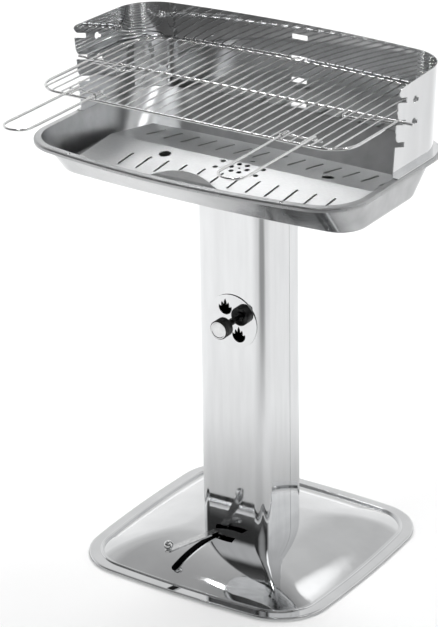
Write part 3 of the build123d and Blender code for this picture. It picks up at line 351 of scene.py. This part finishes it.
# The wind shield is buffed stainless sheet, cut with notches for the grate and holes for a spit, rolled round
# its two back corners, and screwed to the back of the rim.
# Rolling leaves upright waves of about 30 mm in the mirror, five times as high as they are wide.
shield_stainless = metal("rolled_buffed_stainless", "#DADBDC", "#E2E3E4", sheen=(0.03, 0.07), grain_mm=30.0,
                         stretch=(1.0, 1.0, 0.2), relief_mm=0.05)
dress(shield_stainless, "wind_shield")


def copied(piece, shift):
    """A copy of a piece with its own mesh, moved by a shift."""
    bpy.ops.object.select_all(action="DESELECT")
    piece.select_set(True)
    bpy.context.view_layer.objects.active = piece
    bpy.ops.object.duplicate()
    bpy.ops.transform.translate(value=shift)
    return bpy.context.active_object


def join(pieces):
    """Joins pieces into the first of them."""
    bpy.ops.object.select_all(action="DESELECT")
    for piece in pieces:
        piece.select_set(True)
    bpy.context.view_layer.objects.active = pieces[0]
    bpy.ops.object.join()


# The screws have button heads with a round socket, and hexagon nuts below the rim. Their axes are read from
# the CAD node, where the points of one screw lie within SCREW_ROOM of each other and the next is further off.
HEAD_SIDES = 32
HEAD_R = 0.0028
HEAD_HIGH = 0.0018
HEAD_ROUND = 0.0005
SOCKET_LAND = 0.0014
SOCKET_DRAFT = 0.0001
SOCKET_DEEP = 0.0011
SHANK_SIDES = 24
SHANK_R = 0.0018
NUT_SIDES = 6
NUT_HIGH = 0.0022
END_ROUND = 0.0003
SCREW_ROOM = 0.01
low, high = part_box("shield_screws")
points = [v.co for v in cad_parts["shield_screws"].data.vertices]
axes = []
for point in points:
    if all(abs(point.x - x) > SCREW_ROOM for x, y in axes):
        own_x = [p.x for p in points if abs(p.x - point.x) < SCREW_ROOM]
        own_y = [p.y for p in points if abs(p.x - point.x) < SCREW_ROOM]
        axes.append(((min(own_x) + max(own_x)) / 2, (min(own_y) + max(own_y)) / 2))
x, y = axes[0]
head = blank(HEAD_SIDES, HEAD_R, HEAD_HIGH, (x, y, high[2] - HEAD_HIGH / 2))
pick(head, lambda at, facing: facing.z > FACING)
bpy.ops.mesh.inset(thickness=SOCKET_LAND)
bpy.ops.mesh.inset(thickness=SOCKET_DRAFT, depth=-SOCKET_DEEP)
round_edges(head, HEAD_ROUND, angle=60.0)
shank_top = high[2] - HEAD_HIGH
shank = blank(SHANK_SIDES, SHANK_R, shank_top - low[2], (x, y, (low[2] + shank_top) / 2))
round_edges(shank, END_ROUND)
nut = blank(NUT_SIDES, HEAD_R, NUT_HIGH, (x, y, low[2] + NUT_HIGH / 2))
round_edges(nut, END_ROUND)
join([head, shank, nut])
others = [copied(head, (other_x - x, other_y - y, 0.0)) for other_x, other_y in axes[1:]]
join([head] + others)
settle(head, "shield_fixings", zinc_plate, "stand", "zinc_hardware", "shield_screws")


# The grate is drawn steel wire, straightened, cut and resistance-welded, then nickel plated. Thin wires lie
# across a thick frame and a middle bar, whose ends rest in the shield's notches.
# Wire drawing leaves fine lines along each wire, and plating over them a bright skin with a haze of 2 mm.
plated_wire = metal("nickel_plated_wire", "#E0E1E1", "#F0F0F0", sheen=(0.08, 0.18), grain_mm=2.0,
                    stretch=(1.0, 0.2, 1.0), relief_mm=0.003)
dress(plated_wire, "grate_frame", "grate_wires", "grate_mid_bar", "grate_lugs", "grate_braces",
      "grate_tongue")

# At each crossing a flattened nugget of weld metal shows on both sides of the thin wire. A thin wire ends
# WIRE_PAST beyond its crossings with the frame.
WIRE_PITCH = 0.017
WIRE_PAST = 0.0019
NUGGET = (0.0021, 0.0017, 0.0009)
NUGGET_BELOW = 0.0003
NUGGET_SUNK = 0.0001
bar = middle("grate_mid_bar")
low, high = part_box("grate_frame")
ends = {}
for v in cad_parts["grate_wires"].data.vertices:
    k = round(v.co.x / WIRE_PITCH)
    first, last = ends.get(k, (v.co.y, v.co.y))
    ends[k] = (min(first, v.co.y), max(last, v.co.y))
bpy.ops.object.select_all(action="DESELECT")
bpy.ops.mesh.primitive_uv_sphere_add(segments=10, ring_count=6, radius=1.0)
nugget = bpy.context.active_object
nugget.scale = NUGGET
bpy.ops.object.transform_apply(location=True, rotation=True, scale=True)
bpy.ops.object.mode_set(mode="EDIT")
bpy.ops.mesh.select_all(action="SELECT")
bpy.ops.mesh.bisect(plane_co=(0.0, 0.0, -NUGGET_BELOW), plane_no=(0.0, 0.0, 1.0),
                    use_fill=True, clear_inner=True)
bpy.ops.object.mode_set(mode="OBJECT")
bpy.ops.object.shade_smooth_by_angle(angle=math.radians(40.0))
nuggets = []
for k, (first, last) in sorted(ends.items()):
    for y in (first + WIRE_PAST, bar.y, last - WIRE_PAST):
        nuggets.append(copied(nugget, (k * WIRE_PITCH, y, high[2] - NUGGET_SUNK)))
bpy.data.objects.remove(nugget)
join(nuggets)
settle(nuggets[0], "grate_welds", plated_wire, "grate", "bright_wire")


# The two handles are bent from the same plated wire as the frame. A short wire under the grate holds their
# ends, and a ribbed sleeve is pressed on each inner leg.
dress(plated_wire, "handle_left", "handle_right", "handle_cross_wires", "handle_sleeves")


# The studio: white paper on the floor, a pale sweep behind, a dim room on the camera's side, three soft boxes
# that only light the paper, and four narrow lamps on the bowl.
FLOOR_SIZE = 16.0
FIBRE_MM = 2.0
paper = bpy.data.materials.new("white_paper")
paper.use_nodes = True
tree = paper.node_tree
shader = tree.nodes["Principled BSDF"]
shader.inputs["Base Color"].default_value = linear("#F4F4F4")
place = add(tree, "ShaderNodeTexCoord").outputs["Object"]
fibre = add(tree, "ShaderNodeTexNoise", [
    ("Vector", place), ("Scale", MM_IN_M / FIBRE_MM), ("Detail", 2.0)]).outputs["Fac"]
matt = add(tree, "ShaderNodeMapRange", [("Value", fibre), ("To Min", 0.85), ("To Max", 0.95)])
tree.links.new(matt.outputs["Result"], shader.inputs["Roughness"])
bpy.ops.object.select_all(action="DESELECT")
bpy.ops.mesh.primitive_plane_add(size=FLOOR_SIZE)
floor = bpy.context.active_object
floor.name = "floor"
floor.data.materials.append(paper)

# A black net lies just above the paper and dims it in the metal's reflections alone, as painted shade: in a
# round patch off the column's right corner, around the foot as a painted contact shadow, and in front, where
# the shield's top band looks. Each place is given by where the net begins, where it is thickest, and how much
# it dims there.
CAMERA_SIDE = (0.2, -0.98, 0.0)
NET_HEIGHT = 0.002
PATCH_AT = (1.1, -0.65, 0.0)
PATCH_NET = (0.8, 0.25, 0.52)
FOOT_AT = (0.0, 0.067, 0.0)
FOOT_NET = (0.6, 0.2, 0.42)
FRONT_NET = (1.4, 2.4, 0.83)
net_cloth = bpy.data.materials.new("black_net")
net_cloth.use_nodes = True
tree = net_cloth.node_tree
shader = tree.nodes["Principled BSDF"]
shader.inputs["Base Color"].default_value = linear("#000000")
shader.inputs["Specular IOR Level"].default_value = 0.0
place = add(tree, "ShaderNodeTexCoord").outputs["Object"]
thick = 0.0
for measure, spot, (begins, thickest, dims) in (
    ("DISTANCE", PATCH_AT, PATCH_NET),
    ("DISTANCE", FOOT_AT, FOOT_NET),
    ("DOT_PRODUCT", CAMERA_SIDE, FRONT_NET),
):
    away = add(tree, "ShaderNodeVectorMath", [(0, place), (1, spot)], operation=measure).outputs["Value"]
    here = add(tree, "ShaderNodeMapRange", [
        ("Value", away), ("From Min", begins), ("From Max", thickest), ("To Max", dims)],
        interpolation_type="SMOOTHSTEP").outputs["Result"]
    thick = add(tree, "ShaderNodeMath", [(0, thick), (1, here)], operation="MAXIMUM").outputs["Value"]
tree.links.new(thick, shader.inputs["Alpha"])
bpy.ops.object.select_all(action="DESELECT")
bpy.ops.mesh.primitive_plane_add(size=FLOOR_SIZE, location=(0.0, 0.0, NET_HEIGHT))
bpy.ops.object.transform_apply(location=True, rotation=True, scale=True)
net = bpy.context.active_object
net.name = "net"
net.data.materials.append(net_cloth)
net.visible_camera = False
net.visible_diffuse = False
net.visible_shadow = False

# The sweep and the room are greys by the height of a direction above the horizon. The room takes over from
# the sweep towards the camera's side. Glows are soft lights: a direction, the angles in degrees where they
# are full and where they end, and a strength.
SWEEP = [(0.0, 1.0), (0.41, 0.92), (0.5, 0.75), (0.59, 0.63), (0.69, 0.6), (0.85, 0.42), (1.0, 0.15)]
ROOM = [(0.0, 0.15), (0.12, 0.12), (0.3, 0.05), (0.5, 0.04), (0.85, 0.04), (1.0, 0.06)]
SWEEP_ENDS = -0.15
ROOM_STARTS = 0.35
GLOWS = [
    ((0.05, 0.685, 0.727), 2.0, 6.5, 0.7),
    ((0.69, -0.02, 0.72), 4.0, 14.0, 1.6),
    ((-0.47, -0.6, 0.65), 5.0, 12.0, 0.55),
    ((0.4, -0.58, 0.71), 8.0, 36.0, 0.35),
]
world = bpy.data.worlds.new("studio")
bpy.context.scene.world = world
world.use_nodes = True
tree = world.node_tree
heading = add(tree, "ShaderNodeTexCoord").outputs["Generated"]
height = add(tree, "ShaderNodeSeparateXYZ", [("Vector", heading)]).outputs["Z"]
sides = []
for stops in (SWEEP, ROOM):
    ramp = add(tree, "ShaderNodeValToRGB", [("Fac", height)])
    ramp.color_ramp.elements.remove(ramp.color_ramp.elements[1])
    for k, (rise, grey) in enumerate(stops):
        stop = ramp.color_ramp.elements[0] if k == 0 else ramp.color_ramp.elements.new(rise)
        stop.position = rise
        stop.color = (grey, grey, grey, 1.0)
    sides.append(ramp.outputs["Color"])
towards = add(tree, "ShaderNodeVectorMath", [(0, heading), (1, CAMERA_SIDE)], operation="DOT_PRODUCT")
share = add(tree, "ShaderNodeMapRange", [
    ("Value", towards.outputs["Value"]), ("From Min", SWEEP_ENDS), ("From Max", ROOM_STARTS)],
    interpolation_type="SMOOTHSTEP").outputs["Result"]
light = add(tree, "ShaderNodeMix", [
    ("Factor", share), (COLOUR_A, sides[0]), (COLOUR_B, sides[1])], data_type="RGBA").outputs[MIXED_COLOUR]
for direction, full, ends_at, strength in GLOWS:
    near = add(tree, "ShaderNodeVectorMath", [
        (0, heading), (1, Vector(direction).normalized())], operation="DOT_PRODUCT").outputs["Value"]
    glow = add(tree, "ShaderNodeMapRange", [
        ("Value", near), ("From Min", math.cos(math.radians(ends_at))),
        ("From Max", math.cos(math.radians(full))), ("To Max", strength)],
        interpolation_type="SMOOTHSTEP").outputs["Result"]
    light = add(tree, "ShaderNodeVectorMath", [(0, light), (1, glow)], operation="ADD").outputs["Vector"]
tree.links.new(light, tree.nodes["Background"].inputs["Color"])


def lamp_on(kind, name, place, aim, power):
    """Adds a lamp that looks at a point."""
    bpy.ops.object.light_add(type=kind, location=place)
    lamp = bpy.context.active_object
    lamp.name = name
    lamp.data.energy = power
    lamp.rotation_euler = (Vector(aim) - Vector(place)).to_track_quat("-Z", "Y").to_euler()
    return lamp


for name, place, aim, size, power in (
    ("left_box", (-1.2, -1.2, 1.9), (-0.7, -1.1, 0.0), 1.4, 26.0),
    ("back_box", (-1.0, 2.1, 2.6), (-1.0, 2.1, 0.0), 2.4, 78.0),
    ("right_box", (1.1, 0.7, 2.2), (0.7, 0.5, 0.0), 1.4, 11.0),
):
    soft_box = lamp_on("AREA", name, place, aim, power)
    soft_box.data.size = size
    soft_box.visible_glossy = False

SPOT_BLEND = 0.4
for name, place, aim, cone, power, radius in (
    ("back_spot", (-1.35, 1.89, 2.6), (0.0, 0.03, 0.68), 15.0, 40.0, 0.3),
    ("front_spot", (0.44, -1.19, 2.94), (-0.1, 0.06, 0.68), 15.0, 90.0, 0.3),
    ("right_spot", (1.6, -0.04, 2.55), (-0.17, 0.03, 0.68), 9.0, 95.0, 0.3),
    ("left_spot", (-1.25, 0.35, 2.85), (0.06, 0.14, 0.7), 9.0, 42.0, 0.25),
):
    narrow_lamp = lamp_on("SPOT", name, place, aim, power)
    narrow_lamp.data.shadow_soft_size = radius
    narrow_lamp.data.spot_size = math.radians(cone)
    narrow_lamp.data.spot_blend = SPOT_BLEND


# The camera stands where the photograph's did, found from the object's straight edges.
EYE = Vector((2.15467, -3.26999, 2.19601))
AIM = Vector((-0.05831, 0.06725, 0.39136))
FOCAL_PIXELS = 2770.23
IMAGE_HEIGHT = 627
ROLL_DEG = -0.907
bpy.ops.object.camera_add(location=EYE)
camera = bpy.context.active_object
turn = (AIM - EYE).to_track_quat("-Z", "Y").to_matrix() @ Matrix.Rotation(math.radians(ROLL_DEG), 3, "Z")
camera.rotation_euler = turn.to_euler()
camera.data.lens = FOCAL_PIXELS / IMAGE_HEIGHT * camera.data.sensor_width
bpy.context.scene.camera = camera
bpy.context.scene.view_settings.view_transform = "Standard"
